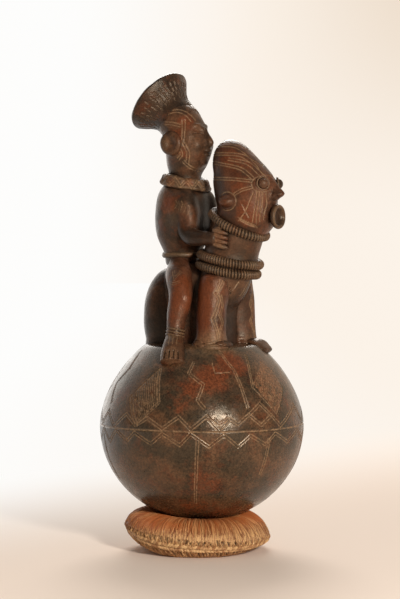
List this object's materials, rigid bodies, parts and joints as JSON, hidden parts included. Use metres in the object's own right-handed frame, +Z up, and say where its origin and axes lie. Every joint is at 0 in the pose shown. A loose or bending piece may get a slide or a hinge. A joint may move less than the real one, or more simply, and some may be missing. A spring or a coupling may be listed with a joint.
{
  "type": "effigy vase on a raffia ring",
  "caption": "Hollow clay vase: an incised globe resting on a plaited raffia ring, crowned by a rider with a funnel-shaped coiffure astride a mount with ball eyes and a lip disc.",
  "frame": {"origin": "under the globe's axis, on the surface that the raffia ring stands on", "axes": "+Z up along the globe's axis; both figures look along +X, their right side towards -Y"},
  "size_m": [0.204, 0.204, 0.4775],
  "materials": {
    "dark_burnished_clay": "smoke-darkened fired clay, burnished",
    "brown_burnished_clay": "brown fired clay, burnished and worn",
    "red_slipped_clay": "fired clay with rubbed red slip",
    "worn_coil_clay": "notched clay coils, worn pale on the edges",
    "raffia": "dry raffia fibre, laid side by side",
    "dry_grass_core": "bundled dry grass",
    "plaited_raffia": "plaited and stitched raffia"
  },
  "bodies": {
    "ring": {"ring_core": "dry_grass_core", "ring_wrap": "raffia", "ring_plait": "plaited_raffia", "ring_stitch_upper": "plaited_raffia", "ring_stitch_lower": "plaited_raffia"},
    "vase": {"pot_body": "brown_burnished_clay", "mount_trunk": "dark_burnished_clay", "mount_rump": "dark_burnished_clay", "mount_neck": "brown_burnished_clay", "mount_right_forefoot": "brown_burnished_clay", "mount_left_forefoot": "brown_burnished_clay", "mount_lip_disc": "brown_burnished_clay", "mount_right_eye": "brown_burnished_clay", "mount_left_eye": "brown_burnished_clay", "mount_right_foreleg": "red_slipped_clay", "mount_left_foreleg": "red_slipped_clay", "mount_head": "red_slipped_clay", "mount_nose": "red_slipped_clay", "mount_right_ear": "red_slipped_clay", "mount_left_ear": "red_slipped_clay", "mount_neck_ring_lower": "worn_coil_clay", "mount_neck_ring_upper": "worn_coil_clay", "mount_collar": "worn_coil_clay", "rider_torso": "dark_burnished_clay", "rider_hair": "dark_burnished_clay", "rider_right_arm": "dark_burnished_clay", "rider_left_arm": "dark_burnished_clay", "rider_head": "brown_burnished_clay", "rider_nose": "brown_burnished_clay", "rider_right_ear": "brown_burnished_clay", "rider_left_ear": "brown_burnished_clay", "rider_right_foot": "brown_burnished_clay", "rider_left_foot": "brown_burnished_clay", "rider_right_leg": "red_slipped_clay", "rider_left_leg": "red_slipped_clay", "rider_belt": "worn_coil_clay", "rider_collar": "worn_coil_clay", "rider_right_anklet": "worn_coil_clay", "rider_left_anklet": "worn_coil_clay", "rider_right_hand": "worn_coil_clay", "rider_left_hand": "worn_coil_clay"}
  },
  "joints": [
    {"name": "vase_lift", "type": "slide", "parent": "ring", "child": "vase", "axis": [0, 0, 1], "range_m": [0, 0.12]}
  ]
}
